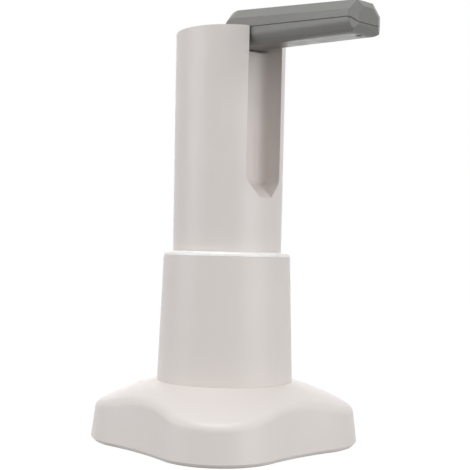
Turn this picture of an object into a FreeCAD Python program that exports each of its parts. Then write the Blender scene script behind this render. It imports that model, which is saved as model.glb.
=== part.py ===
import FreeCAD, Part
import math
import os

# Press-type hand pump for a water jug, in millimetres.
# The origin is on the column's axis in the plane that the foot stands on.
# +Z is up and +X is the way the open spout points.

Vector = FreeCAD.Vector
ORIGIN = Vector(0, 0, 0)
UP = Vector(0, 0, 1)
ALONG_X = Vector(1, 0, 0)
ALONG_Y = Vector(0, 1, 0)

# Clearances between pieces
fit = 0.15
pin_fit = 0.05
seat_gap = 0.05
bush_clearance = 0.3
carrier_clearance = 0.2
stop_gap = 1.2
joint_gap = 0.2

# How far a cutting tool runs past what it cuts
overlap = 1.0
tool_reach = 60.0

# Jug neck and its socket
neck_diameter = 55.0
neck_clearance = 0.4
socket_depth = 38.0
guide_band = 13.0
seat_band = 6.0
socket_relief = 0.3
gasket_thickness = 2.0
gasket_width = 5.0

# Lobed foot
foot_side_radius = 50.4
foot_corner_radius = 61.2
foot_hollow_radius = 120.0
foot_draft = 7.0
foot_wall = 2.6
foot_crown_height = 28.0
foot_side_height = 21.0
foot_edge_round = 4.5
foot_bottom_bevel = 1.6
foot_rib_thickness = 1.8
foot_rib_drop = 4.0

# Collar
sleeve_wall = 2.4
ledge_thickness = 3.0
ledge_radius = 21.0
collar_foot_radius = 31.1
collar_top_wall = 2.0
collar_top = 84.6
bush_wall = 1.75
shoulder_height = 2.2
shoulder_round = 1.9
shoulder_steps = 4
ring_spigot = 3.0
bush_lead = 0.6

# Column
column_radius = 25.0
column_flare = 0.45
column_wall = 2.0
column_top = 186.4
column_flange_gap = 0.3
column_flange_height = 3.7
carrier_ledge_width = 2.0
carrier_ledge_height = 1.6
press_stroke = 22.0
cap_thickness = 2.5
cap_skirt_depth = 5.0
cap_skirt_wall = 1.6
cap_dish_depth = 0.9
cap_dish_radius = 16.0

# Groove that the folded spout lies in
groove_floor = 11.0
groove_width = 20.4
groove_corner = 4.0
groove_shoulder = 118.5
groove_end = 110.8
groove_end_half_width = 3.2
groove_shoulder_round = 6.0
groove_end_round = 2.5
groove_ramp_round = 5.0
saddle_height = 178.5
saddle_gap = 0.9

# Spout arm
pivot_x = 16.5
pivot_z = 183.0
arm_width = 19.4
arm_back = 1.7
arm_tip = 82.1
arm_top_at_root = 196.1
arm_top_at_tip = 188.6
arm_root_flat = 10.5
arm_root_radius = 8.0
arm_bottom_at_root = 179.5
arm_bottom_at_chin = 175.7
arm_bottom_start = 1.5
arm_chin = 70.5
arm_chin_radius = 4.2
arm_chamfer = 4.7
arm_bottom_round = 5.2
arm_wall = 1.9
arm_roof = 4.8
arm_tip_wall = 3.4
arm_joint_start = 11.0
arm_joint_at_root = 187.0
arm_joint_at_tip = 181.2
arm_joint_at_end_face = 179.2
arm_tip_half_width = 6.1
arm_corner_length = 2.1
arm_bevel_low = 186.0
arm_facet_low = 183.0
arm_facet_half_width = 3.1

# Hinge
pin_radius = 2.4
pin_head = 1.4
pin_head_rim = 1.0
pin_bore = 1.3

# Water way in the arm
duct_radius = 2.4
duct_bore = 1.6
elbow_back = 3.6
elbow_front = 5.0
elbow_rise = 3.0
outlet_x = 77.0
outlet_bore = 0.8
outlet_wall = 0.4
outlet_recess = 0.5
outlet_block_back = 3.1
outlet_block_front = 1.6
outlet_block_half_width = 2.6
outlet_block_height = 5.0
outlet_block_lift = 1.4
outlet_port_rise = 2.6

# Inlet deck and its valve
deck_thickness = 2.6
deck_screw_count = 3
deck_screw_radius = 1.25
deck_screw_edge = 3.5
screw_head_radius = 2.0
screw_head_height = 1.6
screw_bite = 2.4
screw_slot_width = 0.6
screw_slot_depth = 0.6
ball_radius = 3.0
ball_lift = 2.0
ball_sides = 16
valve_port = 2.0
seat_depth = 1.2
seat_sink = 4.1
seat_wall = 1.3
boss_wall = 2.6
cage_wall = 0.9
cage_clearance = 0.6
cage_slot_width = 1.8
cage_slots = 4
cage_vent_radius = 1.4

# Dip tube spigot
barb_radius = 4.0
barb_wall = 1.8
barb_flange_rim = 1.6
barb_flange_height = 2.0
barb_start = 1.0
barb_ridge = 0.6
barb_ridges = 2
barb_pitch = 4.0
barb_length = 22.0

# Barrel, piston and rod
barrel_wall = 1.8
barrel_foot_rim = 1.6
barrel_spring_gap = 1.1
head_thickness = 3.0
head_rim = 1.2
head_vents = 3
head_vent_radius = 1.0
head_vent_ring = 11.0
rod_radius = 6.0
rod_bore = 4.3
rod_stop_thickness = 1.6
rod_seal_width = 1.9
rod_seal_height = 1.6
piston_low = 1.0
piston_height = 7.0
piston_clearance = 0.4
piston_socket_wall = 2.0
piston_socket_height = 1.0
seal_section = 1.2
seal_squeeze = 0.1
ring_sides = 8

# Carrier and riser hose
carrier_thickness = 4.0
carrier_play = 1.0
window_angles = (90.0, 210.0, 330.0)
window_radius = 3.0
window_ring = 14.5
plenum_length = 10.0
plenum_half_width = 6.0
plenum_height = 7.0
plenum_end = 5.0
plenum_bore = 1.6
nipple_height = 6.0
nipple_bore = 1.2
nipple_y = 14.5
hose_radius = 2.8
hose_bore = 2.0
hose_sides = 12
hose_lead = 14.0
hose_bend = 6.0
hose_bend_steps = 3
swivel_x = 12.5
swivel_half_width = 2.6
swivel_front = 3.0
swivel_thickness = 4.2
swivel_drop = 6.0
swivel_rise = 2.2

# Return spring
wire_radius = 0.8
wire_sides = 6
spring_column_gap = 1.9
spring_turns = 8
spring_steps = 16

# Heights and radii that follow from the sizes above
socket_radius = neck_diameter / 2 + neck_clearance
sleeve_radius = socket_radius + sleeve_wall
hub_radius = sleeve_radius + fit
gasket_bottom = socket_depth - gasket_thickness
deck_bottom = socket_depth + ledge_thickness
deck_top = deck_bottom + deck_thickness
column_bottom = deck_top + press_stroke + stop_gap
column_inside = column_radius - column_wall
column_top_radius = column_radius + column_flare
guide_bore_radius = column_radius + bush_clearance + bush_wall + fit
collar_top_radius = guide_bore_radius + collar_top_wall
column_flange_radius = guide_bore_radius - column_flange_gap
deck_screw_ring = guide_bore_radius - deck_screw_edge
spring_radius = column_inside - spring_column_gap - wire_radius
bush_bottom = column_bottom + column_flange_height + seat_gap
bush_top = collar_top - ring_spigot
barrel_radius = spring_radius - wire_radius - barrel_spring_gap - barrel_foot_rim
barrel_bore = barrel_radius - barrel_wall
piston_bottom = deck_top + piston_low + press_stroke
piston_top = piston_bottom + piston_height
piston_middle = (piston_bottom + piston_top) / 2
barrel_top = piston_top + stop_gap + head_thickness
carrier_bottom = barrel_top + head_thickness + press_stroke + stop_gap + carrier_play
carrier_top = carrier_bottom + carrier_thickness
plenum_top = carrier_top + plenum_height
inlet_seat_top = deck_top - seat_sink
boss_bottom = inlet_seat_top - seat_depth - seat_wall
cage_bore = ball_radius + cage_clearance
arm_half = arm_width / 2
groove_half = groove_width / 2
pin_wall = groove_half + column_wall
pin_head_radius = pin_radius + pin_head_rim
swivel_low_y = pin_wall + pin_head + 2 * pin_fit
swivel_y = swivel_low_y + swivel_thickness / 2


def closed(points):
    """The points with the first one again at the end."""
    return points + points[:1]


def turned(points):
    """Solid of revolution about the Z axis from radius and height pairs."""
    wire = Part.makePolygon([Vector(r, 0, z) for r, z in closed(points)])
    return Part.Face(wire).revolve(ORIGIN, UP, 360)


def tube(outer, inner, bottom, top, x=0.0, y=0.0):
    """Straight tube along Z, or a rod where it has no bore."""
    low = Vector(x, y, bottom)
    body = Part.makeCylinder(outer, top - bottom, low, UP)
    if inner:
        body = body.cut(Part.makeCylinder(inner, top - bottom, low, UP))
    return body


def prism_y(points, half_width):
    """Prism across the arm from points in the XZ plane."""
    wire = Part.makePolygon([Vector(x, -half_width, z) for x, z in closed(points)])
    return Part.Face(wire).extrude(Vector(0, 2 * half_width, 0))


def box(x0, x1, y0, y1, z0, z1):
    return Part.makeBox(x1 - x0, y1 - y0, z1 - z0, Vector(x0, y0, z0))


def single(shape):
    """The one solid of a shape."""
    clean = shape.removeSplitter()
    return clean.Solids[0] if len(clean.Solids) == 1 else clean


def ring_of(solid, count, start=0.0):
    """Copies of a solid round the axis, kept as separate solids."""
    copies = []
    for index in range(count):
        copy = solid.copy()
        copy.rotate(ORIGIN, UP, start + 360.0 * index / count)
        copies.append(copy)
    return Part.makeCompound(copies)


def edges_at(shape, **place):
    """Edges whose middle lies at the given coordinates."""
    found = []
    for edge in shape.Edges:
        middle = edge.CenterOfMass
        if all(abs(getattr(middle, axis) - value) < 0.01 for axis, value in place.items()):
            found.append(edge)
    return found


def polygon_round(centre, across, along, radius, sides):
    """Corners of a regular polygon about a point, in the plane of two unit vectors."""
    corners = []
    for index in range(sides):
        angle = 2 * math.pi * (index + 0.5) / sides
        corners.append(centre + across * (radius * math.cos(angle)) + along * (radius * math.sin(angle)))
    return corners


def quarter_round(radius, height, size, steps):
    """Points of an outer corner's round, from its lower end to its upper end."""
    points = []
    for index in range(steps + 1):
        angle = math.pi / 2 * index / steps
        points.append((radius - size + size * math.cos(angle), height - size + size * math.sin(angle)))
    return points


# Foot

def lobe_radius():
    """Radius of a corner's arc that runs on smoothly from the hollow side arcs."""
    reach = foot_side_radius + foot_hollow_radius
    diagonal = math.sqrt(2.0)
    above = foot_hollow_radius ** 2 - reach ** 2 - foot_corner_radius ** 2
    above += diagonal * reach * foot_corner_radius
    below = diagonal * reach - 2 * foot_corner_radius - 2 * foot_hollow_radius
    return above / below


def foot_outline(height, inset):
    """Closed outline of eight arcs, drawn in by the draft at a height."""
    shrink = height * math.tan(math.radians(foot_draft)) + inset
    side_centre = foot_side_radius + foot_hollow_radius
    lobe_centre = (foot_corner_radius - lobe_radius()) / math.sqrt(2.0)
    hollow = foot_hollow_radius + shrink
    corner = lobe_radius() - shrink
    level = UP * height
    diagonal = Vector(1, 1, 0).normalize()
    tangent = Vector(lobe_centre - side_centre, lobe_centre, 0).normalize()
    joint = Vector(side_centre, 0, height) + tangent * hollow
    middle = Vector(side_centre - hollow, 0, height)
    tip = diagonal * (lobe_centre * math.sqrt(2.0) + corner) + level
    mirrored = Vector(joint.x, -joint.y, height)
    next_joint = Vector(joint.y, joint.x, height)
    edges = []
    for quarter in range(4):
        turn = FreeCAD.Rotation(UP, 90.0 * quarter)
        marks = [turn.multVec(point) for point in (mirrored, middle, joint, tip, next_joint)]
        edges.append(Part.Arc(marks[0], marks[1], marks[2]).toShape())
        edges.append(Part.Arc(marks[2], marks[3], marks[4]).toShape())
    return Part.Wire(edges)


def dome_centre_height():
    """Centre of the crown's sphere, which falls from the collar's foot to the sides."""
    fall = foot_crown_height - foot_side_height
    spread = foot_side_radius ** 2 - collar_foot_radius ** 2
    return (foot_crown_height + foot_side_height) / 2 - spread / (2 * fall)


def dome_radius():
    return math.hypot(collar_foot_radius, foot_crown_height - dome_centre_height())


def dome_height(radius):
    return dome_centre_height() + math.sqrt(dome_radius() ** 2 - radius ** 2)


def foot_block():
    """Drafted lobed block under a domed crown."""
    high = foot_crown_height + overlap
    skirt = Part.makeLoft([foot_outline(0.0, 0.0), foot_outline(high, 0.0)], True, True)
    dome = Part.makeSphere(dome_radius(), Vector(0, 0, dome_centre_height()))
    slab = tube(2 * foot_corner_radius, 0, 0.0, foot_crown_height)
    return skirt.common(dome).common(slab)


def foot_hollow():
    """The room under the foot's shell, with a plain cone under the crown."""
    high = foot_crown_height - foot_wall
    skirt = Part.makeLoft([foot_outline(-overlap, foot_wall), foot_outline(high, foot_wall)], True, True)
    return skirt.common(turned([
        (0, -overlap),
        (foot_corner_radius, -overlap),
        (foot_corner_radius, dome_height(foot_corner_radius) - foot_wall),
        (collar_foot_radius, high),
        (0, high),
    ]))


def crown_edges(block):
    """The wavy edges along which the crown meets the skirt wall."""
    centre = Vector(0, 0, dome_centre_height())
    found = []
    for edge in block.Edges:
        middle = edge.valueAt((edge.FirstParameter + edge.LastParameter) / 2)
        on_dome = abs((middle - centre).Length - dome_radius()) < 0.01
        if on_dome and math.hypot(middle.x, middle.y) > collar_foot_radius + overlap:
            found.append(edge)
    return found


def base_skirt():
    """Flared foot: a thin shell with a hub and ribs under it."""
    block = foot_block()
    block = block.makeFillet(foot_edge_round, crown_edges(block))
    rim = [edge for edge in block.Edges if edge.BoundBox.ZMax < 0.01]
    block = block.makeChamfer(foot_bottom_bevel, rim)
    hollow = foot_hollow()
    stiffeners = [hollow.common(tube(hub_radius + foot_wall, hub_radius, 0.0, foot_crown_height))]
    rib = box(hub_radius + foot_wall / 2, foot_corner_radius, -foot_rib_thickness / 2,
              foot_rib_thickness / 2, foot_rib_drop, foot_crown_height)
    for solid in ring_of(rib, 4, 45.0).Solids:
        stiffeners.append(hollow.common(solid))
    body = block.cut(hollow).multiFuse(stiffeners)
    return single(body.cut(tube(hub_radius, 0, -overlap, foot_crown_height + overlap)))


# Collar and its guides

def collar():
    """Neck socket, ledge for the deck and tapered upper sleeve in one moulding."""
    relief_top = gasket_bottom - seat_band
    body = turned([
        (socket_radius, 0.0),
        (sleeve_radius, 0.0),
        (sleeve_radius, foot_crown_height),
        (collar_foot_radius, foot_crown_height),
        (collar_top_radius, collar_top),
        (guide_bore_radius, collar_top),
        (guide_bore_radius, deck_bottom),
        (ledge_radius, deck_bottom),
        (ledge_radius, socket_depth),
        (socket_radius, socket_depth),
        (socket_radius, relief_top),
        (socket_radius + socket_relief, relief_top),
        (socket_radius + socket_relief, guide_band),
        (socket_radius, guide_band),
    ])
    pilot = tube(deck_screw_radius + pin_fit, 0, socket_depth, deck_bottom, deck_screw_ring)
    return single(body.cut(ring_of(pilot, deck_screw_count)))


def collar_ring():
    """Rounded shoulder ring with a spigot that clamps the guide bush."""
    inner = column_radius + bush_clearance
    spigot = guide_bore_radius - fit
    top = collar_top + shoulder_height
    low = [(inner, bush_top), (spigot, bush_top), (spigot, collar_top), (collar_top_radius, collar_top)]
    return turned(low + quarter_round(collar_top_radius, top, shoulder_round, shoulder_steps) + [(inner, top)])


def guide_bush():
    """Bearing that the column slides in, with a lead at either end."""
    inner = column_radius + bush_clearance
    outer = guide_bore_radius - fit
    return turned([
        (inner + bush_lead, bush_bottom),
        (outer, bush_bottom),
        (outer, bush_top),
        (inner + bush_lead, bush_top),
        (inner, bush_top - bush_lead),
        (inner, bush_bottom + bush_lead),
    ])


def neck_gasket():
    outer = socket_radius - fit
    return tube(outer, outer - gasket_width, gasket_bottom, socket_depth)


# Inlet deck and lower valve

def ball_rise():
    """Height of a seated ball's centre above the small end of its cone."""
    flare = ball_radius - valve_port
    slope = math.hypot(flare, seat_depth)
    return ((ball_radius + seat_gap) * slope - valve_port * seat_depth) / flare


inlet_ball_centre = inlet_seat_top - seat_depth + ball_rise()
outlet_ball_centre = piston_top - seat_depth + ball_rise()
cage_roof = inlet_ball_centre + ball_radius + ball_lift
cage_top = cage_roof + cage_wall


def seat_cone(top):
    return Part.makeCone(valve_port, ball_radius, seat_depth, Vector(0, 0, top - seat_depth), UP)


def valve_ball(height):
    """Ball turned from the half of a regular polygon."""
    points = []
    for index in range(ball_sides // 2 + 1):
        angle = 2 * math.pi * index / ball_sides
        points.append((ball_radius * math.sin(angle), height - ball_radius * math.cos(angle)))
    return turned(points)


def inlet_deck():
    """Plate over the jug mouth with the lower valve's port."""
    body = tube(guide_bore_radius - fit, valve_port, deck_bottom, deck_top)
    body = body.fuse(tube(barb_radius + boss_wall, valve_port, boss_bottom, deck_bottom))
    body = body.cut(seat_cone(inlet_seat_top)).cut(tube(cage_bore, 0, inlet_seat_top, deck_top))
    hole = tube(deck_screw_radius + pin_fit, 0, deck_bottom, deck_top, deck_screw_ring)
    sink = tube(screw_head_radius + fit, 0, deck_top - screw_head_height, deck_top, deck_screw_ring)
    return single(body.cut(ring_of(hole.fuse(sink), deck_screw_count)))


def deck_screws():
    """Slotted screws that hold the deck on the collar's ledge."""
    shank = tube(deck_screw_radius, 0, deck_bottom - screw_bite, deck_top, deck_screw_ring)
    head = tube(screw_head_radius, 0, deck_top - screw_head_height, deck_top, deck_screw_ring)
    slot = box(deck_screw_ring - screw_slot_width / 2, deck_screw_ring + screw_slot_width / 2,
               -screw_head_radius - overlap, screw_head_radius + overlap, deck_top - screw_slot_depth, deck_top + overlap)
    return ring_of(single(shank.fuse(head).cut(slot)), deck_screw_count)


def inlet_barb():
    """Ridged spigot under the deck that the dip tube is pushed onto."""
    inner = barb_radius - barb_wall
    rim = barb_radius + barb_flange_rim
    flange_bottom = boss_bottom - barb_flange_height
    points = [(inner, boss_bottom), (rim, boss_bottom), (rim, flange_bottom), (barb_radius, flange_bottom)]
    for index in range(barb_ridges):
        upper = flange_bottom - barb_start - index * barb_pitch
        points += [(barb_radius, upper), (barb_radius + barb_ridge, upper), (barb_radius, upper - barb_pitch)]
    end = boss_bottom - barb_length
    return turned(points + [(barb_radius, end), (inner, end)])


def inlet_cage():
    """Slotted cap that keeps the lower ball over its seat."""
    outer = cage_bore + cage_wall
    body = tube(outer, cage_bore, deck_top, cage_roof)
    body = body.fuse(tube(outer, cage_vent_radius, cage_roof, cage_top))
    slot = box(0, outer + overlap, -cage_slot_width / 2, cage_slot_width / 2, deck_top + cage_wall / 2, cage_roof)
    return single(body.cut(ring_of(slot, cage_slots)))


# Barrel, piston and rod

def pump_barrel():
    body = tube(barrel_radius, barrel_bore, deck_top, barrel_top)
    foot = tube(barrel_radius + barrel_foot_rim, barrel_bore, deck_top, deck_top + barrel_foot_rim)
    return single(body.fuse(foot))


def barrel_head():
    """Cap on the barrel that guides the rod and holds its seal."""
    rod_hole = rod_radius + pin_fit
    rim = barrel_radius + head_rim
    body = turned([
        (rod_hole, barrel_top - head_thickness),
        (barrel_bore - fit, barrel_top - head_thickness),
        (barrel_bore - fit, barrel_top),
        (rim, barrel_top),
        (rim, barrel_top + head_thickness),
        (rod_hole, barrel_top + head_thickness),
    ])
    half = rod_seal_height / 2 + 2 * seat_gap
    groove = tube(rod_radius + rod_seal_width + 2 * seat_gap, rod_bore, barrel_top - half, barrel_top + half)
    vent = tube(head_vent_radius, 0, barrel_top - 2 * head_thickness, barrel_top + 2 * head_thickness, head_vent_ring)
    return single(body.cut(groove).cut(ring_of(vent, head_vents)))


def rod_seal():
    half = rod_seal_height / 2
    return tube(rod_radius + rod_seal_width, rod_radius + pin_fit, barrel_top - half, barrel_top + half)


def piston():
    """Disc with a seal groove, the upper valve's seat and a socket for the rod."""
    body = tube(barrel_bore - piston_clearance, valve_port, piston_bottom, piston_top)
    body = body.fuse(tube(rod_radius + piston_socket_wall, rod_radius, piston_top, piston_top + piston_socket_height))
    depth = 2 * seal_section + pin_fit
    groove = tube(barrel_bore, barrel_bore - depth, piston_middle - seal_section, piston_middle + seal_section)
    relief = cage_top - deck_top - piston_low + cage_clearance
    pocket = tube(cage_bore + cage_wall + cage_clearance, 0, piston_bottom, piston_bottom + relief)
    return single(body.cut(groove).cut(pocket).cut(seat_cone(piston_top)))


def piston_ring():
    """Seal ring of eight-sided section in the piston's groove."""
    section = seal_section - seal_squeeze
    middle = Vector(barrel_bore - pin_fit - section, 0, piston_middle)
    reach = section / math.cos(math.pi / ring_sides)
    corners = polygon_round(middle, ALONG_X, UP, reach, ring_sides)
    return turned([(corner.x, corner.z) for corner in corners])


def piston_rod():
    """Hollow rod whose lower end is the upper valve's chamber."""
    stop = outlet_ball_centre + ball_radius + ball_lift
    body = tube(rod_radius, rod_bore, piston_top, carrier_bottom + carrier_thickness / 2)
    reach = (rod_radius + rod_bore) / 2
    half = rod_stop_thickness / 2
    return single(body.fuse(box(-reach, reach, -half, half, stop, stop + rod_stop_thickness)))


def outlet_carrier():
    """Plate across the column that takes the rod below and feeds the hose above."""
    middle = carrier_top + plenum_height / 2
    body = tube(column_inside - carrier_clearance, 0, carrier_bottom, carrier_top)
    plenum = box(-plenum_length / 2, plenum_length / 2, -plenum_half_width, nipple_y + plenum_end,
                 carrier_top, plenum_top)
    nipple = tube(hose_bore - pin_fit, 0, carrier_top, plenum_top + nipple_height, 0, nipple_y)
    body = body.fuse(plenum).fuse(nipple)
    body = body.cut(tube(rod_radius + pin_fit, 0, carrier_bottom, carrier_bottom + carrier_thickness / 2))
    body = body.cut(tube(rod_bore - pin_bore, 0, carrier_bottom, middle + plenum_bore))
    cross = Part.makeCylinder(plenum_bore, nipple_y, Vector(0, 0, middle), ALONG_Y)
    body = body.cut(cross).cut(tube(nipple_bore, 0, middle, plenum_top + nipple_height + overlap, 0, nipple_y))
    for angle in window_angles:
        window = tube(window_radius, 0, carrier_bottom - overlap, carrier_top + overlap, -window_ring)
        window.rotate(ORIGIN, UP, angle)
        body = body.cut(window)
    return single(body)


def return_spring():
    """Open coil between the deck and the carrier, one unbroken wire of six-sided section."""
    low = deck_top + wire_radius + seat_gap
    pitch = (carrier_bottom - deck_top - 2 * (wire_radius + seat_gap)) / spring_turns
    centres = []
    sections = []
    for index in range(spring_turns * spring_steps + 1):
        turn = index / spring_steps
        radial = Vector(math.cos(2 * math.pi * turn), math.sin(2 * math.pi * turn), 0)
        centre = radial * spring_radius + UP * (low + pitch * turn)
        centres.append(centre)
        sections.append(Part.makePolygon(closed(polygon_round(centre, radial, UP, wire_radius, wire_sides))))
    near = min((a - b).Length for i, a in enumerate(centres) for b in centres[i + spring_steps // 2:])
    print("least gap between the spring's turns", round(near - 2 * wire_radius, 2), "mm")
    return Part.makeLoft(sections, True, True)


# Column

def column_body(inset, bottom, top):
    """Slightly tapered cylinder above the collar, straight below it."""
    start = collar_top + shoulder_height
    flare = (column_top_radius - column_radius) / (column_top - start)
    return turned([
        (0, bottom),
        (column_radius - inset, bottom),
        (column_radius - inset, start),
        (column_radius - inset + flare * (top - start), top),
        (0, top),
    ])


def saddle_back():
    """Rear wall of the saddle, clear of the arm's heel as it swings past."""
    heel = math.hypot(pivot_x - arm_back, pivot_z - arm_bottom(arm_back))
    crest = math.hypot(pivot_x - arm_back, arm_top_at_root - arm_root_radius - pivot_z)
    return pivot_x - max(heel, crest) - saddle_gap


def groove_tool(grow):
    """The space of the spout's groove and saddle, grown by the wall that lines it."""
    half = groove_half + grow
    floor = groove_floor - grow
    shoulder = groove_shoulder - grow
    end = groove_end - grow
    end_half = groove_end_half_width + grow / 2
    high = column_top + tool_reach
    far = column_top_radius + tool_reach
    slope = (groove_shoulder - groove_end) / (column_top_radius - groove_floor)
    side = prism_y([(floor, shoulder), (floor, high), (far, high), (far, shoulder - slope * (far - floor))], half)
    side = side.makeFillet(groove_ramp_round, edges_at(side, x=floor, z=shoulder))
    outline = [(-half, high), (half, high), (half, shoulder), (end_half, end), (-end_half, end), (-half, shoulder)]
    front_wire = Part.makePolygon([Vector(0, y, z) for y, z in closed(outline)])
    front = Part.Face(front_wire).extrude(Vector(far, 0, 0))
    front = front.makeFillet(groove_shoulder_round, edges_at(front, y=half, z=shoulder))
    front = front.makeFillet(groove_shoulder_round, edges_at(front, y=-half, z=shoulder))
    front = front.makeFillet(groove_end_round, edges_at(front, y=end_half, z=end))
    front = front.makeFillet(groove_end_round, edges_at(front, y=-end_half, z=end))
    plan = box(floor, far, -half, half, column_bottom, high)
    plan = plan.makeFillet(groove_corner + grow, edges_at(plan, x=floor, y=half) + edges_at(plan, x=floor, y=-half))
    saddle = box(saddle_back() - grow, groove_floor + groove_corner + overlap, -half, half, saddle_height - grow, high)
    return side.common(front).common(plan).fuse(saddle)


def hinge_line(radius, reach):
    """Cylinder on the hinge axis, as far as reach to either side."""
    return Part.makeCylinder(radius, 2 * reach, Vector(pivot_x, -reach, pivot_z), ALONG_Y)


def column_shell():
    """Tube with the spout's groove moulded into its front."""
    body = column_body(0, column_bottom, column_top)
    body = body.fuse(tube(column_flange_radius, column_inside, column_bottom, column_bottom + column_flange_height))
    body = body.cut(groove_tool(0))
    lining = groove_tool(column_wall)
    inside = column_body(column_wall, column_bottom - overlap, column_top + overlap).cut(lining)
    ledge_bottom = carrier_top + seat_gap
    ledge = tube(column_radius - column_wall / 2, column_inside - carrier_ledge_width,
                 ledge_bottom, ledge_bottom + carrier_ledge_height)
    body = body.cut(inside).fuse(ledge.cut(groove_tool(0)))
    return single(body.cut(hinge_line(pin_radius + pin_fit, pin_wall + pin_fit)))


def column_cap():
    """Press plate let into the column's top, dished for the palm."""
    bottom = column_top - cap_thickness
    radius = column_top_radius - column_wall - fit
    body = turned([
        (0, bottom),
        (radius - cap_skirt_wall, bottom),
        (radius - cap_skirt_wall, bottom - cap_skirt_depth),
        (radius, bottom - cap_skirt_depth),
        (radius, column_top),
        (radius - cap_skirt_wall, column_top),
        (cap_dish_radius, column_top - cap_dish_depth),
        (0, column_top - cap_dish_depth),
    ])
    heads = hinge_line(pin_head_radius + fit, pin_wall + pin_head + fit)
    room = box(swivel_x - swivel_half_width - overlap, pivot_x + swivel_front + overlap, pin_wall, column_radius,
               bottom - cap_skirt_depth - overlap, pivot_z + swivel_rise + fit)
    return single(body.cut(groove_tool(column_wall + fit)).cut(heads).cut(room))


# Spout arm

def line_height(x, x0, z0, x1, z1):
    """Height at x on the line through two points."""
    return z0 + (z1 - z0) * (x - x0) / (x1 - x0)


def arm_top(x):
    return line_height(x, arm_root_flat, arm_top_at_root, arm_tip, arm_top_at_tip)


def arm_bottom(x):
    return line_height(x, arm_bottom_start, arm_bottom_at_root, arm_chin, arm_bottom_at_chin)


def arm_joint(x):
    return line_height(x, arm_joint_start, arm_joint_at_root, arm_tip - arm_corner_length, arm_joint_at_tip)


def arm_channel_form(inset):
    """Long prism with the arm's rounded underside, open upward."""
    start = arm_back - overlap
    end = arm_tip + overlap
    high = arm_top_at_root + overlap
    half = arm_half - inset
    body = prism_y([
        (start, arm_bottom(start) + inset),
        (end, arm_bottom(end) + inset),
        (end, high),
        (start, high),
    ], half)
    low_edges = [edge for edge in body.Edges
                 if abs(abs(edge.CenterOfMass.y) - half) < 0.01
                 and abs(edge.CenterOfMass.z - arm_bottom(edge.CenterOfMass.x) - inset) < 0.01]
    return body.makeFillet(arm_bottom_round - inset, low_edges)


def above_plane(a, b, c):
    """Block on the upper side of the plane through three points."""
    normal = (b - a).cross(c - a)
    if normal.z < 0:
        normal = normal * -1
    block = Part.makeBox(2 * arm_width, 2 * arm_width, arm_width, Vector(-arm_width, -arm_width, 0))
    block.Placement = FreeCAD.Placement(a, FreeCAD.Rotation(UP, normal)).multiply(block.Placement)
    return block


def arm_block():
    """Outer form of the closed arm: bevelled top with a round root, rounded underside and faceted tip."""
    corner = arm_tip - arm_corner_length
    body = prism_y([
        (arm_back, arm_bottom(arm_back)),
        (arm_tip, arm_bottom(arm_tip)),
        (arm_tip, arm_bevel_low),
        (corner, arm_top(corner)),
        (arm_back, arm_top(arm_back)),
    ], arm_half)
    body = body.makeFillet(arm_root_radius, edges_at(body, x=arm_back, z=arm_top(arm_back)))
    body = body.makeFillet(arm_chin_radius, edges_at(body, x=arm_tip, z=arm_bottom(arm_tip)))
    long_edges = [edge for edge in body.Edges
                  if abs(abs(edge.CenterOfMass.y) - arm_half) < 0.01
                  and abs(edge.CenterOfMass.z - arm_top(edge.CenterOfMass.x)) < 0.01]
    body = body.makeChamfer(arm_chamfer, long_edges)
    body = body.common(arm_channel_form(0.0))
    plan = [(arm_back - overlap, -arm_half), (corner, -arm_half), (arm_tip, -arm_tip_half_width),
            (arm_tip, arm_tip_half_width), (corner, arm_half), (arm_back - overlap, arm_half)]
    low = arm_bottom(arm_tip) - overlap
    wire = Part.makePolygon([Vector(x, y, low) for x, y in closed(plan)])
    body = body.common(Part.Face(wire).extrude(UP * tool_reach))
    for sign in (-1, 1):
        rear = Vector(corner, sign * arm_half, arm_top(corner) - arm_chamfer)
        lower = Vector(arm_tip, sign * arm_tip_half_width, arm_facet_low)
        upper = Vector(arm_tip, sign * arm_facet_half_width, arm_bevel_low)
        body = body.cut(above_plane(rear, lower, upper))
    return single(body)


def arm_hollow():
    """The water way's room inside the closed arm."""
    half = arm_half - arm_wall
    end = arm_tip - arm_tip_wall
    roof_start = arm_joint_start + arm_wall
    low = arm_bottom(end) - overlap
    room = prism_y([
        (arm_joint_start, low),
        (end, low),
        (end, arm_top(end) - arm_roof),
        (roof_start, arm_top(roof_start) - arm_roof),
        (arm_joint_start, arm_joint_at_root),
    ], half)
    return room.common(arm_channel_form(arm_wall))


def arm_upper_half(gap):
    """Everything above the joint line, which drops to the lower edge of the end face."""
    corner = arm_tip - arm_corner_length
    behind = arm_back - tool_reach
    ahead = arm_tip + tool_reach
    high = arm_top_at_root + tool_reach
    return prism_y([
        (behind, arm_joint(behind) + gap),
        (corner, arm_joint(corner) + gap),
        (arm_tip, arm_joint_at_end_face + gap),
        (ahead, arm_joint_at_end_face + gap),
        (ahead, high),
        (behind, high),
    ], arm_width)


def spout_cover(block):
    return single(block.common(arm_upper_half(joint_gap / 2)).cut(arm_hollow()))


def spout_channel(block):
    """Rounded lower half of the arm, with the hinge holes and the outlet's hole."""
    body = block.cut(arm_upper_half(-joint_gap / 2)).cut(arm_hollow())
    body = body.cut(hinge_line(pin_radius + pin_fit, arm_width))
    hole = outlet_bore + outlet_wall + fit
    low = arm_bottom(outlet_x)
    return single(body.cut(tube(hole, 0, low - overlap, low + 2 * arm_wall, outlet_x)))


def hinge_pin(side, bore):
    """Stub pin with a head inside the column, hollow on the water side."""
    inner = arm_half - arm_wall - 2 * pin_fit
    axis = ALONG_Y * side
    length = pin_wall + pin_head - inner
    body = Part.makeCylinder(pin_radius, length, Vector(pivot_x, side * inner, pivot_z), axis)
    head = Part.makeCylinder(pin_head_radius, pin_head, Vector(pivot_x, side * (pin_wall + pin_fit), pivot_z), axis)
    body = body.fuse(head)
    if bore:
        body = body.cut(Part.makeCylinder(bore, 2 * length, Vector(pivot_x, side * (inner - overlap), pivot_z), axis))
    return single(body.common(column_body(column_wall + pin_fit, column_bottom, column_top - cap_thickness / 4)))


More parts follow.
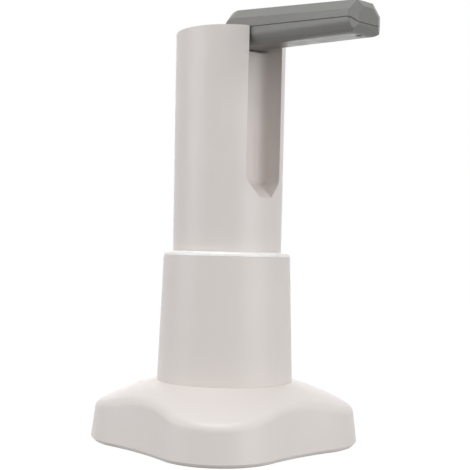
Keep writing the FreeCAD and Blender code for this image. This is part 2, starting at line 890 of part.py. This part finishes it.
def swivel_elbow():
    """Block in the column's side pocket that joins the hose to the hollow pin."""
    body = box(swivel_x - swivel_half_width, pivot_x + swivel_front, swivel_low_y, swivel_low_y + swivel_thickness,
               pivot_z - swivel_drop, pivot_z + swivel_rise)
    body = body.common(column_body(column_wall + carrier_clearance, column_bottom, column_top))
    nipple = tube(hose_bore - pin_fit, 0, pivot_z - 2 * swivel_drop, pivot_z - swivel_drop + pin_fit,
                  swivel_x, swivel_y)
    return single(body.fuse(nipple))


def bend(before, corner, after, steps):
    """Points of a smooth bend round a corner of the route."""
    start = corner + (before - corner).normalize() * hose_bend
    end = corner + (after - corner).normalize() * hose_bend
    points = []
    for index in range(steps + 1):
        share = index / steps
        points.append(start * (1 - share) ** 2 + corner * (2 * share * (1 - share)) + end * share ** 2)
    return points


def riser_hose():
    """Soft hose from the carrier's nipple to the elbow's."""
    low = Vector(0, nipple_y, plenum_top + carrier_clearance)
    high = Vector(swivel_x, swivel_y, pivot_z - swivel_drop - carrier_clearance)
    lower_corner = low + UP * hose_lead
    upper_corner = high - UP * hose_lead
    route = [low] + bend(low, lower_corner, upper_corner, hose_bend_steps)
    route += bend(lower_corner, upper_corner, high, hose_bend_steps) + [high]
    across = Vector(high.y - low.y, low.x - high.x, 0).normalize()
    solids = []
    for radius in (hose_radius, hose_bore / math.cos(math.pi / hose_sides)):
        sections = []
        for index, point in enumerate(route):
            before = route[max(index - 1, 0)]
            after = route[min(index + 1, len(route) - 1)]
            along = (after - before).normalize()
            if index in (0, len(route) - 1):
                along = UP
            corners = polygon_round(point, across, along.cross(across), radius, hose_sides)
            sections.append(Part.makePolygon(closed(corners)))
        solids.append(Part.makeLoft(sections, True, True))
    return single(solids[0].cut(solids[1]))


def spout_elbow():
    """Block in the arm's root that takes the water from the hollow pin to the spout tube."""
    half = arm_half - arm_wall - fit
    body = box(pivot_x - elbow_back, pivot_x + elbow_front, -half, half, arm_bottom(pivot_x), pivot_z + elbow_rise)
    body = body.common(arm_channel_form(arm_wall + fit))
    cross = Part.makeCylinder(duct_bore, half, Vector(pivot_x, 0, pivot_z), ALONG_Y)
    way = Part.makeCylinder(duct_bore, 2 * elbow_front, Vector(pivot_x, 0, pivot_z), ALONG_X)
    return single(body.cut(cross).cut(way))


def outlet_floor():
    """Height of the outlet block's underside, above the channel's floor."""
    return arm_bottom(outlet_x) + arm_wall + outlet_block_lift


def spout_tube():
    """Straight tube from the elbow to the outlet, along the arm's slope."""
    start = Vector(pivot_x + elbow_front + joint_gap, 0, pivot_z)
    end = Vector(outlet_x - outlet_block_back - joint_gap, 0, outlet_floor() + outlet_port_rise / 2)
    axis = end - start
    body = Part.makeCylinder(duct_radius, axis.Length, start, axis)
    return body.cut(Part.makeCylinder(duct_bore, axis.Length, start, axis))


def outlet_nozzle():
    """Small outlet under the arm's tip."""
    low = arm_bottom(outlet_x) + outlet_recess
    floor = outlet_floor()
    front = outlet_x + outlet_block_front
    back = outlet_x - outlet_block_back
    body = tube(outlet_bore + outlet_wall, 0, low, floor + outlet_wall, outlet_x)
    body = body.fuse(box(back, front, -outlet_block_half_width, outlet_block_half_width,
                         floor, floor + outlet_block_height))
    body = body.cut(tube(outlet_bore, 0, low - overlap, floor + outlet_port_rise, outlet_x))
    port = Part.makeCylinder(outlet_bore + outlet_wall, outlet_block_back, Vector(back, 0, floor + outlet_port_rise),
                             ALONG_X)
    return single(body.cut(port))


def build():
    """Every node's shape by name."""
    block = arm_block()
    return {
        "base_skirt": base_skirt(),
        "collar": collar(),
        "collar_ring": collar_ring(),
        "guide_bush": guide_bush(),
        "neck_gasket": neck_gasket(),
        "inlet_deck": inlet_deck(),
        "deck_screws": deck_screws(),
        "inlet_barb": inlet_barb(),
        "inlet_ball": valve_ball(inlet_ball_centre),
        "inlet_cage": inlet_cage(),
        "pump_barrel": pump_barrel(),
        "barrel_head": barrel_head(),
        "rod_seal": rod_seal(),
        "return_spring": return_spring(),
        "column_shell": column_shell(),
        "column_cap": column_cap(),
        "outlet_carrier": outlet_carrier(),
        "piston_rod": piston_rod(),
        "piston": piston(),
        "piston_ring": piston_ring(),
        "outlet_ball": valve_ball(outlet_ball_centre),
        "riser_hose": riser_hose(),
        "swivel_elbow": swivel_elbow(),
        "swivel_pin": hinge_pin(1, pin_bore),
        "hinge_pin": hinge_pin(-1, 0),
        "spout_cover": spout_cover(block),
        "spout_channel": spout_channel(block),
        "spout_elbow": spout_elbow(),
        "spout_tube": spout_tube(),
        "outlet_nozzle": outlet_nozzle(),
    }


os.makedirs("parts", exist_ok=True)
for node, shape in build().items():
    print(node, shape.isValid(), len(shape.Solids), round(shape.Volume, 1))
    shape.exportStep("parts/" + node + ".step")
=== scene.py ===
import math

import bpy
from mathutils import Matrix, Vector

# Looks of the jug pump: plastic, rubber and steel finishes, soft studio light and the camera.
# Everything is in metres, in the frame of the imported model.

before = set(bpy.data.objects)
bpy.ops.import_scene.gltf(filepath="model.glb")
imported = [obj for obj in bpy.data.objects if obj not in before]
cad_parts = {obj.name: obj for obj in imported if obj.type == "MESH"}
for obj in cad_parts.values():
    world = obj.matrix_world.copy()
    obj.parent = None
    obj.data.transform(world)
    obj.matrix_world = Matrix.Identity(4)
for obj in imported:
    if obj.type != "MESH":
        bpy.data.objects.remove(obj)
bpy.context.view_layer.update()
scene = bpy.context.scene

# Camera, as worked out from the photograph: angles in degrees, lens and sensor in millimetres
CAMERA_AZIMUTH = 48.0
CAMERA_PAN = 0.457
CAMERA_TILT = 0.774
CAMERA_ROLL = 1.160
CAMERA_DISTANCE = 0.4451
CAMERA_HEIGHT = 0.0884
CAMERA_LENS = 73.62
SENSOR_WIDTH = 36.0

# Lamps: name, azimuth from the camera's and elevation in degrees, and power in watts
LAMPS = (
    ("left_lamp", -74, 12, 6.2),
    ("right_lamp", 50, 9, 7.9),
    ("top_lamp", 0, 80, 9.8),
    ("back_lamp", 180, 2, 2.6),
)
LAMP_DISTANCE = 1.2
LAMP_SIZE = 0.8
LAMP_AIM_HEIGHT = 0.1

# White surroundings: what is seen, and the weak light they give
BACKDROP = 1.0
AMBIENT = 0.15
WHITE = (1, 1, 1, 1)

# Floor: its glow and the glow's share where it is seen, so that the shadow stays
FLOOR_HALF = 3.0
FLOOR_GLOW = 1.10
FLOOR_SHARE = 0.9
FLOOR_COLOUR = (0.45, 0.45, 0.45)
FLOOR_ROUGHNESS = 0.9

# Edges catch the light as if this round
EDGE_SOFTNESS = 0.0004

# Noise values lie mostly between these
NOISE_LOW = 0.3
NOISE_HIGH = 0.7
NOISE_DETAIL = 3.0

# Clouding as a share of the colour, and how far roughness wanders
PLASTIC_CLOUD = 0.03
PLASTIC_GLOSS_RANGE = 0.05
METAL_CLOUD = 0.04
METAL_GLOSS_RANGE = 0.06

# Noise scales per metre
PLASTIC_CLOUD_SCALE = 38.0
PLASTIC_GLOSS_SCALE = 160.0
PLASTIC_GRAIN_SCALE = 2600.0
METAL_CLOUD_SCALE = 300.0
METAL_GLOSS_SCALE = 900.0
METAL_GRAIN_SCALE = 3200.0

# Grain: its height, the noise's detail, and the strengths
GRAIN_HEIGHT = 0.0001
GRAIN_DETAIL = 2.0
PLAIN_GRAIN = 0.02
RING_GRAIN = 0.03
SHELL_GRAIN = 0.05
ARM_GRAIN = 0.08
SEAL_GRAIN = 0.15
METAL_GRAIN = 0.05

# Colours, linear
SHELL_COLOUR = (0.760, 0.712, 0.684)
RING_COLOUR = (0.95, 0.94, 0.93)
ARM_COLOUR = (0.172, 0.171, 0.160)
BUSH_COLOUR = (0.55, 0.53, 0.50)
INNER_COLOUR = (0.60, 0.59, 0.57)
CLEAR_COLOUR = (0.72, 0.76, 0.78)
SEAL_COLOUR = (0.030, 0.030, 0.032)
HOSE_COLOUR = (0.55, 0.54, 0.52)
NOZZLE_COLOUR = (0.020, 0.020, 0.021)
STEEL_COLOUR = (0.62, 0.62, 0.63)
SPRING_COLOUR = (0.45, 0.45, 0.46)

# Plastics and rubbers: colour, roughness and grain
PLASTICS = {
    "shell_white": (SHELL_COLOUR, 0.42, SHELL_GRAIN),
    "ring_white": (RING_COLOUR, 0.30, RING_GRAIN),
    "arm_grey": (ARM_COLOUR, 0.36, ARM_GRAIN),
    "bush_plastic": (BUSH_COLOUR, 0.35, PLAIN_GRAIN),
    "inner_plastic": (INNER_COLOUR, 0.40, PLAIN_GRAIN),
    "barrel_clear": (CLEAR_COLOUR, 0.15, PLAIN_GRAIN),
    "seal_rubber": (SEAL_COLOUR, 0.65, SEAL_GRAIN),
    "hose_rubber": (HOSE_COLOUR, 0.55, PLAIN_GRAIN),
    "nozzle_black": (NOZZLE_COLOUR, 0.35, PLAIN_GRAIN),
}

# Metals: colour and roughness
METALS = {
    "fastener_steel": (STEEL_COLOUR, 0.30),
    "ball_steel": (STEEL_COLOUR, 0.12),
    "rod_steel": (STEEL_COLOUR, 0.22),
    "spring_steel": (SPRING_COLOUR, 0.28),
}

FINISH_OF = {
    "base_skirt": "shell_white",
    "collar": "shell_white",
    "collar_ring": "ring_white",
    "column_shell": "shell_white",
    "column_cap": "shell_white",
    "guide_bush": "bush_plastic",
    "neck_gasket": "seal_rubber",
    "inlet_deck": "inner_plastic",
    "deck_screws": "fastener_steel",
    "inlet_barb": "inner_plastic",
    "inlet_ball": "ball_steel",
    "inlet_cage": "inner_plastic",
    "pump_barrel": "barrel_clear",
    "barrel_head": "inner_plastic",
    "rod_seal": "seal_rubber",
    "return_spring": "spring_steel",
    "outlet_carrier": "inner_plastic",
    "piston_rod": "rod_steel",
    "piston": "inner_plastic",
    "piston_ring": "seal_rubber",
    "outlet_ball": "ball_steel",
    "riser_hose": "hose_rubber",
    "swivel_elbow": "inner_plastic",
    "swivel_pin": "rod_steel",
    "hinge_pin": "rod_steel",
    "spout_cover": "arm_grey",
    "spout_channel": "arm_grey",
    "spout_elbow": "inner_plastic",
    "spout_tube": "inner_plastic",
    "outlet_nozzle": "nozzle_black",
}


def shader_tree(name):
    """A new material with an empty tree, its shader and its output."""
    material = bpy.data.materials.new(name)
    material.use_nodes = True
    tree = material.node_tree
    tree.nodes.clear()
    output = tree.nodes.new("ShaderNodeOutputMaterial")
    shader = tree.nodes.new("ShaderNodeBsdfPrincipled")
    tree.links.new(shader.outputs["BSDF"], output.inputs["Surface"])
    return material, tree, shader


def noise(tree, scale, detail=NOISE_DETAIL):
    """Noise in the object's own space, per metre."""
    place = tree.nodes.new("ShaderNodeTexCoord")
    node = tree.nodes.new("ShaderNodeTexNoise")
    node.inputs["Scale"].default_value = scale
    node.inputs["Detail"].default_value = detail
    tree.links.new(place.outputs["Object"], node.inputs["Vector"])
    return node.outputs["Fac"]


def spread(tree, value, low, high):
    """Maps a noise value onto a range."""
    node = tree.nodes.new("ShaderNodeMapRange")
    node.inputs["From Min"].default_value = NOISE_LOW
    node.inputs["From Max"].default_value = NOISE_HIGH
    node.inputs["To Min"].default_value = low
    node.inputs["To Max"].default_value = high
    tree.links.new(value, node.inputs["Value"])
    return node.outputs["Result"]


def tint_colour(tree, shader, colour, cloud, scale):
    """Clouds a colour by a share of itself, lighter and darker."""
    tint = tree.nodes.new("ShaderNodeMix")
    tint.data_type = "RGBA"
    tint.inputs["A"].default_value = (*(c * (1 - cloud) for c in colour), 1)
    tint.inputs["B"].default_value = (*(min(1.0, c * (1 + cloud)) for c in colour), 1)
    tree.links.new(noise(tree, scale), tint.inputs["Factor"])
    tree.links.new(tint.outputs["Result"], shader.inputs["Base Color"])


def uneven_gloss(tree, shader, scale, roughness, gloss_range):
    """Lets the roughness wander about its middle value."""
    gloss = spread(tree, noise(tree, scale), roughness - gloss_range, roughness + gloss_range)
    tree.links.new(gloss, shader.inputs["Roughness"])


def fine_grain(tree, shader, scale, grain):
    """Fine grain on the surface, over edges that catch the light as if rounded."""
    soft_edge = tree.nodes.new("ShaderNodeBevel")
    soft_edge.inputs["Radius"].default_value = EDGE_SOFTNESS
    bump = tree.nodes.new("ShaderNodeBump")
    bump.inputs["Strength"].default_value = grain
    bump.inputs["Distance"].default_value = GRAIN_HEIGHT
    tree.links.new(noise(tree, scale, GRAIN_DETAIL), bump.inputs["Height"])
    tree.links.new(soft_edge.outputs["Normal"], bump.inputs["Normal"])
    tree.links.new(bump.outputs["Normal"], shader.inputs["Normal"])


def plastic(name, colour, roughness, grain):
    """Moulded plastic or rubber: faint clouding of its colour, a fine grain and uneven gloss."""
    material, tree, shader = shader_tree(name)
    tint_colour(tree, shader, colour, PLASTIC_CLOUD, PLASTIC_CLOUD_SCALE)
    uneven_gloss(tree, shader, PLASTIC_GLOSS_SCALE, roughness, PLASTIC_GLOSS_RANGE)
    fine_grain(tree, shader, PLASTIC_GRAIN_SCALE, grain)
    return material


def metal(name, colour, roughness):
    """Drawn or ground steel: a faintly uneven colour, fine marks and uneven gloss."""
    material, tree, shader = shader_tree(name)
    tint_colour(tree, shader, colour, METAL_CLOUD, METAL_CLOUD_SCALE)
    shader.inputs["Metallic"].default_value = 1.0
    uneven_gloss(tree, shader, METAL_GLOSS_SCALE, roughness, METAL_GLOSS_RANGE)
    fine_grain(tree, shader, METAL_GRAIN_SCALE, METAL_GRAIN)
    return material


def dress_nodes():
    """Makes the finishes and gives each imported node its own."""
    finishes = {name: plastic(name, *values) for name, values in PLASTICS.items()}
    finishes.update({name: metal(name, *values) for name, values in METALS.items()})
    for node, finish in FINISH_OF.items():
        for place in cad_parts[node].material_slots:
            place.material = finishes[finish]


def direction(azimuth, elevation):
    """Unit vector from the object towards an azimuth and elevation in degrees."""
    around = math.radians(azimuth)
    up = math.radians(elevation)
    return Vector((math.sin(around) * math.cos(up), -math.cos(around) * math.cos(up), math.sin(up)))


def place_camera():
    """The photograph's view: pan, tilt and roll about a camera that stands off at the azimuth."""
    lens = bpy.data.cameras.new("camera")
    lens.lens = CAMERA_LENS
    lens.sensor_width = SENSOR_WIDTH
    camera = bpy.data.objects.new("camera", lens)
    turn = (Matrix.Rotation(math.radians(CAMERA_AZIMUTH - CAMERA_PAN), 4, "Z")
            @ Matrix.Rotation(math.radians(90.0 + CAMERA_TILT), 4, "X")
            @ Matrix.Rotation(math.radians(CAMERA_ROLL), 4, "Z"))
    spot = direction(CAMERA_AZIMUTH, 0) * CAMERA_DISTANCE + Vector((0, 0, CAMERA_HEIGHT))
    camera.matrix_world = Matrix.Translation(spot) @ turn
    scene.collection.objects.link(camera)
    scene.camera = camera


def area_light(name, azimuth, elevation, power):
    """Soft square lamp that faces the object's middle."""
    data = bpy.data.lights.new(name, "AREA")
    data.size = LAMP_SIZE
    data.energy = power
    lamp = bpy.data.objects.new(name, data)
    back = direction(azimuth, elevation)
    lamp.location = Vector((0, 0, LAMP_AIM_HEIGHT)) + back * LAMP_DISTANCE
    lamp.rotation_mode = "QUATERNION"
    lamp.rotation_quaternion = back.to_track_quat("Z", "Y")
    scene.collection.objects.link(lamp)


def direct_ray(tree):
    """1 for rays from the camera and for those that gloss or glass passes on."""
    path = tree.nodes.new("ShaderNodeLightPath")
    total = path.outputs["Is Camera Ray"]
    for ray in ("Is Glossy Ray", "Is Transmission Ray"):
        larger = tree.nodes.new("ShaderNodeMath")
        larger.operation = "MAXIMUM"
        tree.links.new(total, larger.inputs[0])
        tree.links.new(path.outputs[ray], larger.inputs[1])
        total = larger.outputs[0]
    return total


def mix_shaders(tree, share, first, second):
    """Blends two shaders, the second by the share."""
    blend = tree.nodes.new("ShaderNodeMixShader")
    tree.links.new(share, blend.inputs[0])
    tree.links.new(first, blend.inputs[1])
    tree.links.new(second, blend.inputs[2])
    return blend.outputs[0]


def white_background(tree, strength):
    """Even white surroundings of one strength."""
    background = tree.nodes.new("ShaderNodeBackground")
    background.inputs["Color"].default_value = WHITE
    background.inputs["Strength"].default_value = strength
    return background.outputs[0]


def light_studio():
    """Soft lamps on both sides of the camera, one above, one behind, and a weak even ambient light."""
    for name, azimuth, elevation, power in LAMPS:
        area_light(name, CAMERA_AZIMUTH + azimuth, elevation, power)
    world = bpy.data.worlds.new("studio")
    world.use_nodes = True
    tree = world.node_tree
    tree.nodes.clear()
    output = tree.nodes.new("ShaderNodeOutputWorld")
    seen = white_background(tree, BACKDROP)
    ambient = white_background(tree, AMBIENT)
    tree.links.new(mix_shaders(tree, direct_ray(tree), ambient, seen), output.inputs["Surface"])
    scene.world = world


def floor_material():
    """Matt floor that glows white where it is seen, and still takes the object's shadow."""
    material, tree, shader = shader_tree("floor_white")
    shader.inputs["Base Color"].default_value = (*FLOOR_COLOUR, 1)
    shader.inputs["Roughness"].default_value = FLOOR_ROUGHNESS
    glow = tree.nodes.new("ShaderNodeEmission")
    glow.inputs["Strength"].default_value = FLOOR_GLOW
    share = tree.nodes.new("ShaderNodeMath")
    share.operation = "MULTIPLY"
    share.inputs[1].default_value = FLOOR_SHARE
    tree.links.new(direct_ray(tree), share.inputs[0])
    surface = mix_shaders(tree, share.outputs[0], shader.outputs["BSDF"], glow.outputs[0])
    output = next(node for node in tree.nodes if node.type == "OUTPUT_MATERIAL")
    tree.links.new(surface, output.inputs["Surface"])
    return material


def lay_floor():
    """White floor that shows the object's shadow faintly."""
    corners = [(x * FLOOR_HALF, y * FLOOR_HALF, 0) for x, y in ((-1, -1), (1, -1), (1, 1), (-1, 1))]
    mesh = bpy.data.meshes.new("floor")
    mesh.from_pydata(corners, [], [(0, 1, 2, 3)])
    floor = bpy.data.objects.new("floor", mesh)
    scene.collection.objects.link(floor)
    floor.data.materials.append(floor_material())


dress_nodes()
place_camera()
light_studio()
lay_floor()
scene.view_settings.view_transform = "Standard"
